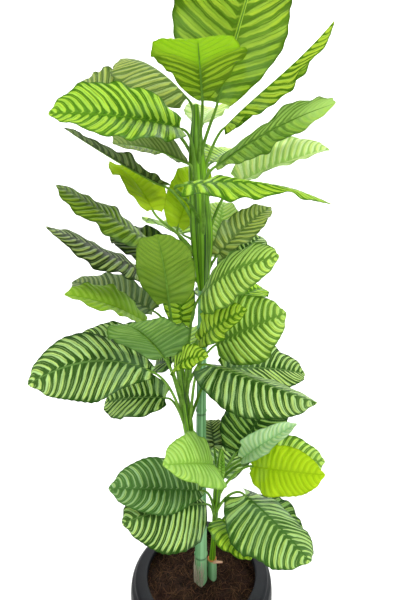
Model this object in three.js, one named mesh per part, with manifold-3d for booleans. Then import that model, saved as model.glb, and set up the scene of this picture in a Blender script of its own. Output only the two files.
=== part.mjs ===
// Potted zebra calathea: an artificial prayer plant in a rounded black pot.
// Two cane poles stand in coir. Three sheath heads are plugged into them, and every leaf is
// one moulded piece, petiole and blade together, that springs from a head.
// Millimetres, +Z up. The origin is the middle of the pot's flat underside, and -Y is the front.

import * as THREE from "three";
import { mergeVertices } from "three/addons/utils/BufferGeometryUtils.js";
import Module from "manifold-3d";

const wasm = await Module();
wasm.setup();

// Driving sizes
const GAP = 0.3;
const POT_HEIGHT = 264;
const POT_MOUTH_RADIUS = 126;
const POT_WALL = 6;
const POT_SIDES = 32;
const POT_ROWS = 6;
const FOOT_BEVEL = 3;
const RIM_ROUND = 2;
const LIP_DEPTH = 12;
const SHOULDER = [158, 242];
const FILL_HEIGHT = 228;
const FILL_RINGS = [1, 0.87, 0.68, 0.46, 0.23, 0];
const FILL_BUMP = 3;
const FILL_LUMP = 15;
const POLE_FOOT = 34;
const POLE_SIDES = 12;
const RING_SPACING = 92;
const RING_RISE = 1.4;
const RING_HALF_HEIGHT = 4;
const PIN_RADIUS = 4.5;
const PIN_LENGTH = 26;
const PIN_SIDES = 10;
const BRANCH_ROWS = 6;
const HEAD_SIDES = 14;
const HEAD_ROWS = 10;
const SHEATH_LOBES = 4;
const SHEATH_RELIEF = 0.12;
const SHEATH_TWIST = 0.6;
const BLADE_THICKNESS = 1.2;
const MIDRIB_DEPTH = 1.2;
const PETIOLE_ROOT_RADIUS = 3.4;
const PETIOLE_END_RADIUS = 2.3;
const TIP_HALF_WIDTH = 1.5;

// Outer wall of the pot, as radius and height from the foot to the shoulder
const POT_OUTLINE = [[110, FOOT_BEVEL], [138, 55], [156, 120], [165, 190], [164, 241], [154, 260]];

// Cane poles: centre line points with the radius at each
const TALL_POLE = [[-1, 0, POLE_FOOT, 14.5], [-1, 0, 290, 14], [1, 0, 640, 10.8], [6, 0, 939, 9.6]];
const SIDE_BRANCH = [[1, 1, 522, 8.5], [-9, -8, 556, 8.8], [-20, -19, 600, 8.6]];
const SHORT_POLE = [[25, 10, POLE_FOOT, 11.5], [25, 10, 285, 10.8]];

// Sheath heads: the same, from the seat on their pole upwards
const HEADS = {
  upper: [
    [6, 0, 939, 10], [5, 0, 985, 16], [4, 0, 1045, 21],
    [0, 0, 1120, 18], [-4, 0, 1200, 14], [-5, 0, 1275, 5],
  ],
  middle: [
    [-20, -19, 600, 8.5], [-25, -24, 650, 10.5], [-31, -27, 705, 11.5],
    [-36, -28, 750, 9.5], [-38, -28, 795, 5],
  ],
  lower: [
    [25, 10, 285, 8], [28, 5, 345, 5.5], [32, 0, 420, 6.5],
    [36, -5, 480, 9], [40, -8, 540, 7], [43, -8, 592, 3],
  ],
};
const UP = [0, 0, 1];
const BRANCH_AXIS = [-0.23, -0.23, 0.945];

// Leaves: name, height at which the petiole leaves its head, blade base, blade tip, width,
// the way the upper face looks, and the form. arch bows the midrib along the face and bow
// bows it sideways, in millimetres; fold lifts the two halves and twist turns the tip, in degrees.
// lobe draws the margins back at the base, in millimetres; full below or above one brings the
// widest place nearer the base or the tip.
const LEAVES = [
  ["upper_01", 1180, [31, -45, 1264], [98, -185, 1462], 200, [0, 0.8, 0.6],
    { arch: [5, 5], fold: [30, 0] }],
  ["upper_02", 1165, [8, -85, 1266], [5, -235, 1302], 134, [-0.06, 0.2, 1],
    { arch: [12, 12], fold: [8, 12], full: 1.4 }],
  ["upper_03", 1200, [-18, 20, 1286], [-156, 110, 1380], 150, [0, -0.8, 0.6],
    { arch: [40, 32], fold: [0, -60] }],
  ["upper_04", 1185, [-142, 60, 1296], [-268, 140, 1320], 110, [-0.2, -0.75, 0.65], {}],
  ["upper_05", 1120, [-26, -60, 1226], [-214, -150, 1233], 132, [0, -0.74, 0.67],
    { arch: [12, 12], fold: [10, 18] }],
  ["upper_06", 1110, [-16, -10, 1173], [-180, 110, 1222], 125, [0, 0.5, 0.85], {}],
  ["upper_07", 1060, [-60, -20, 1134], [-206, -110, 1220], 92, [0.45, 0.1, 0.88], { arch: [-4, -4] }],
  ["upper_08", 1150, [41, -15, 1231], [199, -120, 1363], 56, [-0.7, -0.1, 0.7],
    { arch: [5, -10], fold: [-62, -62] }],
  ["upper_09", 1030, [25, -90, 1162], [237, -20, 1274], 130, [-0.3, 0.4, 0.87],
    { fold: [-3, -8], lobe: 0, full: 1.1 }],
  ["upper_10", 1040, [69, 20, 1140], [243, 20, 1201], 125, [0.1, -0.75, 0.65],
    { arch: [12, 15], fold: [5, 48], full: 0.78 }],
  ["upper_11", 1060, [-24, -138, 1134], [204, -152, 1106], 112, [0, -0.17, 0.98],
    { arch: [18, 27], fold: [-8, -12], twist: 24, full: 0.74 }],
  ["upper_12", 1190, [5, 60, 1250], [40, 230, 1310], 110, [0, 0.2, 1], {}],
  ["upper_13", 1000, [-82, -30, 1090], [-172, 80, 1180], 100, [0.35, -0.35, 0.85], {}],
  ["upper_14", 985, [-44, 25, 1056], [3, 120, 1182], 95, [0, -0.8, 0.6], {}],
  ["upper_15", 985, [-91, -30, 1034], [-240, -70, 1136], 110, [-0.1, -0.4, 0.85],
    { arch: [4, 4], fold: [0, -15] }],
  ["upper_16", 950, [-95, -30, 974], [-248, -110, 1070], 116, [-0.1, -0.5, 0.85],
    { arch: [4, 4], fold: [5, -25] }],
  ["upper_17", 950, [-50, 40, 975], [-190, 100, 1040], 110, [0, -0.5, 0.85], {}],
  ["upper_18", 975, [30, 40, 995], [50, 150, 1105], 100, [0, -0.7, 0.7], {}],
  ["upper_19", 960, [32, 10, 1003], [146, 80, 1096], 78, [0, -0.6, 0.8], {}],
  ["upper_20", 945, [50, 50, 965], [135, 130, 1030], 90, [0, -0.6, 0.8], {}],
  ["upper_21", 1130, [20, 60, 1180], [110, 240, 1215], 125, [0, 0, 1], {}],
  ["upper_22", 1010, [-35, 70, 1040], [-120, 250, 1050], 125, [0, 0, 1], {}],
  ["upper_23", 950, [10, 65, 905], [75, 220, 850], 125, [0, 0, 1], {}],
  ["middle_01", 745, [-52, -85, 930], [-55, -205, 1065], 110, [0, 0.75, 0.65], { full: 0.78 }],
  ["middle_02", 705, [-93, 25, 887], [-282, 95, 935], 100, [0, -0.45, 0.9], {}],
  ["middle_03", 690, [-102, -30, 878], [-228, -110, 955], 105, [-0.1, -0.4, 0.9], {}],
  ["middle_04", 740, [2, -60, 940], [126, -165, 1028], 132, [0, -0.7, 0.7],
    { bow: -12, fold: [-15, -5], full: 0.74 }],
  ["middle_05", 782, [46, 2, 897], [134, 78, 925], 102, [0, -0.5, 0.85], { lobe: 0 }],
  ["middle_06", 715, [-1, -56, 851], [83, -125, 933], 75, [-0.4, -0.7, 0.6], {}],
  ["middle_07", 770, [-35, -10, 870], [-45, 15, 965], 70, [0, -0.9, 0.4], {}],
  ["middle_08", 700, [-46, -84, 808], [18, -142, 856], 60, [-0.2, -0.6, 0.8], {}],
  ["middle_09", 672, [-65, -60, 818], [-106, -195, 928], 150, [-0.25, 0.6, 0.75], { fold: [0, 20] }],
  ["middle_10", 648, [-86, -65, 792], [-293, -140, 803], 152, [0, -0.85, 0.5],
    { bow: 40, fold: [5, -32], full: 1.25 }],
  ["middle_11", 640, [-70, 0, 706], [-214, 45, 672], 118, [0, -0.6, 0.8], {}],
  ["middle_12", 680, [-65, 35, 798], [-285, 80, 803], 120, [0, -0.4, 0.9], {}],
  ["middle_13", 655, [14, -84, 817], [189, -202, 802], 145, [0, -0.75, 0.65],
    { arch: [15, 8], fold: [-64, 5], lobe: 28 }],
  ["middle_14", 668, [40, -20, 780], [225, 35, 745], 120, [0, -0.5, 0.85], {}],
  ["middle_15", 660, [-58, 55, 765], [-118, 165, 700], 105, [-0.2, -0.6, 0.7], {}],
  ["middle_16", 700, [-30, 62, 788], [-100, 240, 770], 125, [0, 0, 1], {}],
  ["middle_17", 736, [30, -25, 833], [152, -106, 922], 138, [-0.2, -0.8, 0.5], { fold: [12, -12] }],
  ["lower_01", 500, [30, 45, 556], [20, 115, 589], 72, [0, -0.7, 0.7], {}],
  ["lower_02", 500, [77, 35, 546], [174, 100, 673], 160, [0, -0.85, 0.5], {}],
  ["lower_03", 520, [88, -25, 578], [184, -95, 702], 65, [-0.3, -0.7, 0.6], { fold: [40, 40] }],
  ["lower_04", 505, [112, 2, 553], [263, -28, 574], 105, [0, -0.7, 0.7], {}],
  ["lower_05", 472, [106, -44, 574], [227, -150, 632], 105, [-0.2, -0.8, 0.5], {}],
  ["lower_06", 530, [28, -40, 574], [-59, -190, 681], 125, [0.88, -0.2, 0.42], { fold: [30, 0] }],
  ["lower_07", 428, [5, -45, 515], [-164, -150, 604], 118, [0, -0.75, 0.65],
    { fold: [38, 10], full: 1.45 }],
  ["lower_08", 408, [14, -50, 486], [-134, -185, 560], 170, [0, -0.8, 0.6],
    { arch: [30, 15], bow: 12, fold: [-4, -48], lobe: 12, full: 0.76 }],
  ["lower_09", 428, [88, -62, 522], [193, -215, 509], 172, [0, -0.3, 0.95],
    { arch: [14, 12], fold: [-38, -22], lobe: 46, full: 0.88 }],
  ["lower_10", 370, [116, 10, 439], [222, -50, 393], 90, [0, -0.3, 0.95], {}],
  ["lower_11", 378, [44, -50, 447], [98, -150, 446], 102, [0, -0.3, 0.95], { full: 0.84 }],
  ["lower_12", 545, [44, -20, 537], [45, -22, 600], 30, [0, -1, 0.1], { fold: [60, 60] }],
  ["lower_13", 440, [50, 50, 470], [120, 230, 480], 125, [0, 0, 1], {}],
];
const FORM = {
  arch: [15, 15], bow: 0, fold: [15, 15], twist: 0, puff: 0.2, wave: 4, waves: 2, lobe: 10, full: 0.92,
};
const OUTLINE_POWER = 0.58;
const PHASE_STEP = 0.37;
const MARGIN_PHASE = 0.2;
const BLADE_ROWS = [1, 0.95, 0.85, 0.71, 0.55, 0.39, 0.24, 0.11, 0.03];
const BLADE_COLUMNS = [1, 0.5, 0, -0.5, -1];

// Quads of a leaf's ring that lie on its underside, split the same way as those above them
const UNDERSIDE = new Set([5, 6, 7, 8]);

// A petiole leaves its head rising and meets the blade along the midrib. Its six corners are
// shared out over the ten points of a blade's ring.
const PETIOLE_ROWS = [1, 0.75, 0.45, 0];
const PETIOLE_ANGLES = [30, 30, 90, 150, 150, 210, 210, 270, 330, 330];
const ROOT_OFFSET = 0.55;
const PETIOLE_LEAN = 0.25;
const PETIOLE_RISE = 0.4;
const PETIOLE_ARRIVAL = 0.22;

const COLOURS = {
  leaf: { color: 0x5f9a35, roughness: 0.5, metalness: 0 },
  sheath: { color: 0x6fae3c, roughness: 0.5, metalness: 0 },
  cane: { color: 0x4f8a6a, roughness: 0.55, metalness: 0 },
  pot: { color: 0x2b2e35, roughness: 0.45, metalness: 0 },
  coir: { color: 0x4a2a22, roughness: 0.95, metalness: 0 },
};

const vector = (xyz) => new THREE.Vector3(...xyz.slice(0, 3));
const mix = (a, b, t) => a + (b - a) * t;

// A closed body from rings of points, each ring anticlockwise round the way the rings run.
// Quads listed in swapped take the other diagonal.
function loft(rings, swapped = new Set()) {
  const sides = rings[0].length;
  const positions = rings.flat().flatMap((p) => [p.x, p.y, p.z]);
  const triangles = [];
  for (let i = 0; i + 1 < rings.length; i += 1) {
    for (let k = 0; k < sides; k += 1) {
      const a = i * sides + k;
      const b = i * sides + ((k + 1) % sides);
      const c = b + sides;
      const d = a + sides;
      if (swapped.has(k)) triangles.push(a, b, d, b, c, d);
      else triangles.push(a, b, c, a, c, d);
    }
  }
  const last = (rings.length - 1) * sides;
  for (let k = 1; k + 1 < sides; k += 1) {
    triangles.push(0, k + 1, k);
    triangles.push(last, last + k, last + k + 1);
  }
  const geometry = new THREE.BufferGeometry();
  geometry.setAttribute("position", new THREE.Float32BufferAttribute(positions, 3));
  geometry.setIndex(triangles);
  return geometry;
}

function solidOf(geometry) {
  const bare = geometry.clone();
  bare.deleteAttribute("normal");
  bare.deleteAttribute("uv");
  const merged = mergeVertices(bare, 1e-4);
  const corners = Array.from(merged.index.array);
  const triangles = [];
  for (let i = 0; i < corners.length; i += 3) {
    const [a, b, c] = corners.slice(i, i + 3);
    if (a !== b && b !== c && c !== a) triangles.push(a, b, c);
  }
  const mesh = new wasm.Mesh({
    numProp: 3,
    vertProperties: new Float32Array(merged.attributes.position.array),
    triVerts: new Uint32Array(triangles),
  });
  return new wasm.Manifold(mesh);
}

function geometryOf(solid) {
  const mesh = solid.getMesh();
  const geometry = new THREE.BufferGeometry();
  geometry.setAttribute("position", new THREE.Float32BufferAttribute(mesh.vertProperties, 3));
  geometry.setIndex(Array.from(mesh.triVerts));
  return geometry;
}

function largestBody(solid) {
  const bodies = solid.decompose();
  return bodies.reduce((best, body) => (body.volume() > best.volume() ? body : best));
}

function ring(centre, side, normal, radii) {
  return radii.map((radius, k) => {
    const angle = (2 * Math.PI * (k + 0.5)) / radii.length;
    return centre.clone()
      .addScaledVector(side, radius * Math.cos(angle))
      .addScaledVector(normal, radius * Math.sin(angle));
  });
}

// Centre and radius at u, where whole numbers are the control points of a stem
function stemAt(points, curve, u) {
  const i = Math.min(Math.floor(u), points.length - 2);
  const radius = mix(points[i][3], points[i + 1][3], THREE.MathUtils.smoothstep(u - i, 0, 1));
  return { centre: curve.getPoint(u / (points.length - 1)), radius };
}

function stem(points, sides, rows, { startAxis, endAxis, relief = 0, grow = 0 }) {
  const curve = new THREE.CatmullRomCurve3(points.map(vector));
  const across = new THREE.Vector3(1, 0, 0);
  const rings = [];
  for (let i = 0; i < rows; i += 1) {
    const u = ((points.length - 1) * i) / (rows - 1);
    const { centre, radius } = stemAt(points, curve, u);
    let axis = curve.getTangent(u / (points.length - 1));
    if (i === 0 && startAxis) axis = vector(startAxis).normalize();
    if (i === rows - 1 && endAxis) axis = vector(endAxis).normalize();
    const normal = new THREE.Vector3().crossVectors(axis, across).normalize();
    const side = new THREE.Vector3().crossVectors(normal, axis);
    const fade = Math.sin((Math.PI * i) / (rows - 1));
    const radii = Array.from({ length: sides }, (_, k) => {
      const lobe = Math.cos((2 * Math.PI * SHEATH_LOBES * (k + 0.5)) / sides + SHEATH_TWIST * i);
      return radius * (1 + relief * fade * lobe) + grow;
    });
    rings.push(ring(centre, side, normal, radii));
  }
  return loft(rings);
}

function rod(from, axis, start, end, radius) {
  const direction = vector(axis).normalize();
  const length = end - start;
  const geometry = new THREE.CylinderGeometry(radius, radius, length, PIN_SIDES);
  geometry.rotateX(Math.PI / 2);
  const turn = new THREE.Quaternion().setFromUnitVectors(new THREE.Vector3(0, 0, 1), direction);
  geometry.applyQuaternion(turn);
  const middle = vector(from).addScaledVector(direction, start + length / 2);
  geometry.translate(middle.x, middle.y, middle.z);
  return solidOf(geometry);
}

function lathe(points) {
  const geometry = new THREE.LatheGeometry(points, POT_SIDES);
  geometry.rotateX(Math.PI / 2);
  return solidOf(geometry);
}

// The pot's wall from a floor upwards, moved inwards by inset
function potWall(inset, floor) {
  const outline = POT_OUTLINE.map(([radius, height]) => new THREE.Vector2(radius - inset, height));
  const wall = new THREE.SplineCurve(outline).getPoints(POT_ROWS);
  return [
    new THREE.Vector2(0, floor),
    new THREE.Vector2(wall[0].x - FOOT_BEVEL, floor),
    ...wall.filter((point) => point.y > floor + 1),
  ];
}

// The pot's shoulder turns in to a thick lip round its mouth
function pot() {
  const inside = potWall(POT_WALL, POT_WALL).filter((point) => point.y < SHOULDER[1]);
  return lathe([
    ...potWall(0, 0),
    new THREE.Vector2(POT_MOUTH_RADIUS + RIM_ROUND * 2, POT_HEIGHT),
    new THREE.Vector2(POT_MOUTH_RADIUS, POT_HEIGHT - RIM_ROUND),
    new THREE.Vector2(POT_MOUTH_RADIUS, POT_HEIGHT - LIP_DEPTH),
    new THREE.Vector2(...SHOULDER),
    ...inside.reverse(),
  ]);
}

// Coir fill: it fits the pot, its top is lumpy, and the poles stand in plain holes in it
function coirFill(poles) {
  const wall = potWall(POT_WALL + GAP, POT_WALL + GAP);
  const above = wall.findIndex((point) => point.y > FILL_HEIGHT);
  const [low, high] = [wall[above - 1], wall[above]];
  const rim = mix(low.x, high.x, (FILL_HEIGHT - low.y) / (high.y - low.y));
  const top = FILL_RINGS.map((share) => new THREE.Vector2(rim * share, FILL_HEIGHT));
  const body = lathe([...wall.slice(0, above), ...top]).warp((p) => {
    const isTop = p[2] > FILL_HEIGHT - 1 && Math.hypot(p[0], p[1]) < rim - 1;
    if (isTop) p[2] += FILL_BUMP * Math.sin(p[0] / FILL_LUMP + 1) * Math.cos(p[1] / FILL_LUMP);
  });
  return poles.reduce((left, pole) => left.subtract(pole), body);
}

// The row of a table of centres and radii at height z, mixed from the rows around it
function rowAt(table, z) {
  const i = Math.max(0, table.findIndex((row, k) => k + 1 < table.length && z <= table[k + 1][2]));
  const share = (z - table[i][2]) / (table[i + 1][2] - table[i][2]);
  return table[i].map((value, k) => mix(value, table[i + 1][k], share));
}

function cane(table, grow = 0) {
  const foot = table[0][2];
  const top = table[table.length - 1][2];
  const rows = [[foot, 0], [top, 0]];
  for (let z = foot + RING_SPACING; z < top - RING_SPACING / 3; z += RING_SPACING) {
    rows.push([z - RING_HALF_HEIGHT, 0], [z, RING_RISE], [z + RING_HALF_HEIGHT, 0]);
  }
  rows.sort((a, b) => a[0] - b[0]);
  const east = new THREE.Vector3(1, 0, 0);
  const north = new THREE.Vector3(0, 1, 0);
  return solidOf(loft(rows.map(([z, rise]) => {
    const [x, y, , radius] = rowAt(table, z);
    return ring(new THREE.Vector3(x, y, z), east, north, Array(POLE_SIDES).fill(radius + grow + rise));
  })));
}

function tallPole() {
  const branch = solidOf(stem(SIDE_BRANCH, POLE_SIDES, BRANCH_ROWS, { endAxis: BRANCH_AXIS }));
  const socket = PIN_RADIUS + GAP;
  return cane(TALL_POLE)
    .add(branch)
    .subtract(rod(TALL_POLE[3], UP, -PIN_LENGTH, 1, socket))
    .subtract(rod(SIDE_BRANCH[2], BRANCH_AXIS, -PIN_LENGTH, 1, socket));
}

function shortPole() {
  return cane(SHORT_POLE).subtract(rod(SHORT_POLE[1], UP, -PIN_LENGTH, 1, PIN_RADIUS + GAP));
}

function head(name, axis, grow = 0) {
  const seat = vector(axis).normalize().multiplyScalar(GAP);
  const [first, ...rest] = HEADS[name];
  const lifted = [first[0] + seat.x, first[1] + seat.y, first[2] + seat.z, first[3]];
  const options = { startAxis: axis, relief: SHEATH_RELIEF, grow };
  const sheath = solidOf(stem([lifted, ...rest], HEAD_SIDES, HEAD_ROWS, options));
  return grow > 0 ? sheath : sheath.add(rod(first, axis, 1 - PIN_LENGTH, GAP + 1, PIN_RADIUS));
}

// Leaves

// Half the blade's width at t along the midrib, as a share of its widest
const outline = (leaf, t) => Math.sin(Math.PI * t ** leaf.full) ** OUTLINE_POWER;

// Point and frame on the midrib: a cubic from the blade's base to its tip
function midrib(leaf, t) {
  const chord = leaf.tip.clone().sub(leaf.base);
  const direction = chord.clone().normalize();
  const face = leaf.face.clone().addScaledVector(direction, -leaf.face.dot(direction)).normalize();
  const across = new THREE.Vector3().crossVectors(direction, face);
  const handle = (share, rise) => leaf.base.clone()
    .addScaledVector(chord, share)
    .addScaledVector(face, rise)
    .addScaledVector(across, leaf.bow);
  const curve = new THREE.CubicBezierCurve3(
    leaf.base, handle(1 / 3, leaf.arch[0]), handle(2 / 3, leaf.arch[1]), leaf.tip);
  const tangent = curve.getTangent(t);
  const normal = face.clone().addScaledVector(tangent, -face.dot(tangent)).normalize();
  normal.applyAxisAngle(tangent, THREE.MathUtils.degToRad(-leaf.twist) * (t - 0.5));
  const side = new THREE.Vector3().crossVectors(tangent, normal);
  return { point: curve.getPoint(t), tangent, normal, side };
}

// Point on the blade: t runs along the midrib, v from one margin to the other, and lift is the
// distance from the blade's middle surface
function bladePoint(leaf, frame, t, v, lift) {
  const share = outline(leaf, t);
  const half = Math.max(TIP_HALF_WIDTH, (leaf.width / 2) * share);
  const out = Math.abs(v);
  const fold = THREE.MathUtils.degToRad(leaf.fold[v > 0 ? 1 : 0]);
  const phase = leaf.waves * t + leaf.phase + (v > 0 ? MARGIN_PHASE : 0);
  const rise = half * (out * Math.sin(fold) + leaf.puff * (out - out ** 2))
    + leaf.wave * share * out ** 1.5 * Math.sin(2 * Math.PI * phase);
  return frame.point.clone()
    .addScaledVector(frame.tangent, -leaf.lobe * out ** 2 * (1 - t) ** 3)
    .addScaledVector(frame.side, half * v * Math.cos(fold) - lift * Math.sign(v) * Math.sin(fold))
    .addScaledVector(frame.normal, rise + lift * (v === 0 ? 1 : Math.cos(fold)));
}

function bladeRing(leaf, t) {
  const frame = midrib(leaf, t);
  const lift = BLADE_THICKNESS / 2;
  const rib = MIDRIB_DEPTH * (1 - t);
  const upper = BLADE_COLUMNS.map((v) => bladePoint(leaf, frame, t, v, lift));
  const lower = [...BLADE_COLUMNS].reverse()
    .map((v) => bladePoint(leaf, frame, t, v, v === 0 ? -lift - rib : -lift));
  return [...upper, ...lower];
}

// Petiole rings, from the blade's base back to the middle of the head
function petioleRings(leaf) {
  const frame = midrib(leaf, 0);
  const reach = leaf.base.clone().sub(leaf.root);
  const length = reach.length();
  const rising = leaf.root.clone()
    .add(new THREE.Vector3(reach.x * PETIOLE_LEAN, reach.y * PETIOLE_LEAN, length * PETIOLE_RISE));
  const arriving = leaf.base.clone().addScaledVector(frame.tangent, -PETIOLE_ARRIVAL * length);
  const curve = new THREE.CubicBezierCurve3(leaf.root, rising, arriving, leaf.base);
  let { normal } = frame;
  return PETIOLE_ROWS.map((u) => {
    const axis = curve.getTangent(u);
    const centre = curve.getPoint(u);
    const radius = mix(PETIOLE_ROOT_RADIUS, PETIOLE_END_RADIUS, u);
    normal = normal.clone().addScaledVector(axis, -normal.dot(axis)).normalize();
    const side = new THREE.Vector3().crossVectors(axis, normal);
    return PETIOLE_ANGLES.map(THREE.MathUtils.degToRad).map((angle) => centre.clone()
      .addScaledVector(side, radius * Math.cos(angle))
      .addScaledVector(normal, radius * Math.sin(angle)));
  });
}

// A petiole starts inside its head, part of the way out towards the blade's base
function petioleRoot(headName, height, base) {
  const [x, y, , radius] = rowAt(HEADS[headName], height);
  const away = new THREE.Vector2(base[0] - x, base[1] - y).setLength(ROOT_OFFSET * radius);
  return new THREE.Vector3(x + away.x, y + away.y, height);
}

function leafOf([name, height, base, tip, width, face, form], index) {
  return {
    ...FORM,
    phase: (index * PHASE_STEP) % 1,
    ...form,
    root: petioleRoot(name.split("_")[0], height, base),
    base: vector(base),
    tip: vector(tip),
    face: vector(face).normalize(),
    width,
  };
}

function leafSolid(leaf) {
  const rings = [...BLADE_ROWS.map((t) => bladeRing(leaf, t)), ...petioleRings(leaf)];
  return solidOf(loft(rings, UNDERSIDE));
}

// The object

const plant = new THREE.Group();

function addPiece(name, solid, finish) {
  const mesh = new THREE.Mesh(geometryOf(solid), new THREE.MeshStandardMaterial(COLOURS[finish]));
  mesh.name = name;
  plant.add(mesh);
}

addPiece("pot", pot(), "pot");
addPiece("coir_fill", coirFill([cane(TALL_POLE, GAP), cane(SHORT_POLE, GAP)]), "coir");
addPiece("tall_pole", tallPole(), "cane");
addPiece("short_pole", shortPole(), "cane");
const headAxes = { upper: UP, middle: BRANCH_AXIS, lower: UP };
for (const [name, axis] of Object.entries(headAxes)) addPiece(`${name}_head`, head(name, axis), "sheath");

LEAVES.forEach((row, index) => {
  const [headName, number] = row[0].split("_");
  const clearance = head(headName, headAxes[headName], GAP);
  const solid = largestBody(leafSolid(leafOf(row, index)).subtract(clearance));
  addPiece(`${headName}_leaf_${number}`, solid, "leaf");
});

export default plant;
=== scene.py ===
# Dresses the potted zebra calathea. Every piece of the frame is replaced by a finer one on the same
# curves, and all colour comes from procedural materials.
# Sizes are in millimetres, as in the CAD source, and MM turns them into metres. Only the frame's
# box, the camera, the lights and the materials use metres.

import math
from types import SimpleNamespace

import bpy
import numpy as np
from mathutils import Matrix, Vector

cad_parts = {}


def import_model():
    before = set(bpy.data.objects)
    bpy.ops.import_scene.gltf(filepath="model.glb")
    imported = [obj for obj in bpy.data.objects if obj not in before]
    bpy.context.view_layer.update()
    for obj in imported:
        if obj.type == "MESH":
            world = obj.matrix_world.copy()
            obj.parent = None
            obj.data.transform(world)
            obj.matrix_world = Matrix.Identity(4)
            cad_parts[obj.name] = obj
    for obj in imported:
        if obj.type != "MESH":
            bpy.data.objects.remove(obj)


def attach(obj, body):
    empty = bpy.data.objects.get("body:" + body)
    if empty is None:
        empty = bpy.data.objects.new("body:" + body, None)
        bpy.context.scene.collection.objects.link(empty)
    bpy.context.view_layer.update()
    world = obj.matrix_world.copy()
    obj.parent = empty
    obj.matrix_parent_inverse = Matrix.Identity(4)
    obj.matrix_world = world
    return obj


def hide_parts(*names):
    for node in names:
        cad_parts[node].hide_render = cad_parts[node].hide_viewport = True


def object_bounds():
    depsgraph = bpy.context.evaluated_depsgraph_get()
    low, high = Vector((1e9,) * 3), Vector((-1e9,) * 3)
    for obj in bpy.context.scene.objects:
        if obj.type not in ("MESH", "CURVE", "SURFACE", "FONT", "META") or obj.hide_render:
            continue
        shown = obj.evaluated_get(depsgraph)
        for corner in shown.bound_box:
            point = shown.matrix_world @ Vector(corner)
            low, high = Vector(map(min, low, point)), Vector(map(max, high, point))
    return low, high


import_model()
CAD_BOX = np.array([list(corner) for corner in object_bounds()])

MM = 0.001
SEED = 11
rng = np.random.RandomState(SEED)

# Sheath heads: x, y, z and radius along each, as in the CAD source
HEADS = {
    "upper": [(6, 0, 939, 10), (5, 0, 985, 16), (4, 0, 1045, 21),
              (0, 0, 1120, 18), (-4, 0, 1200, 14), (-5, 0, 1275, 5)],
    "middle": [(-20, -19, 600, 8.5), (-25, -24, 650, 10.5), (-31, -27, 705, 11.5),
               (-36, -28, 750, 9.5), (-38, -28, 795, 5)],
    "lower": [(25, 10, 285, 8), (28, 5, 345, 5.5), (32, 0, 420, 6.5),
              (36, -5, 480, 9), (40, -8, 540, 7), (43, -8, 592, 3)],
}
TALL_POLE = [(-1, 0, 34, 14.5), (-1, 0, 290, 14), (1, 0, 640, 10.8), (6, 0, 939, 9.6)]
SIDE_BRANCH = [(1, 1, 522, 8.5), (-9, -8, 556, 8.8), (-20, -19, 600, 8.6)]
SHORT_POLE = [(25, 10, 34, 11.5), (25, 10, 285, 10.8)]
POT_OUTLINE = [(110, 3), (138, 55), (156, 120), (165, 190), (164, 241), (154, 260)]
POT_MOUTH_RADIUS = 126
POT_HEIGHT = 264
POT_WALL = 6
LIP_DEPTH = 12
SHOULDER = (158, 242)
FILL_HEIGHT = 228
FILL_RIM = 156

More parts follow.
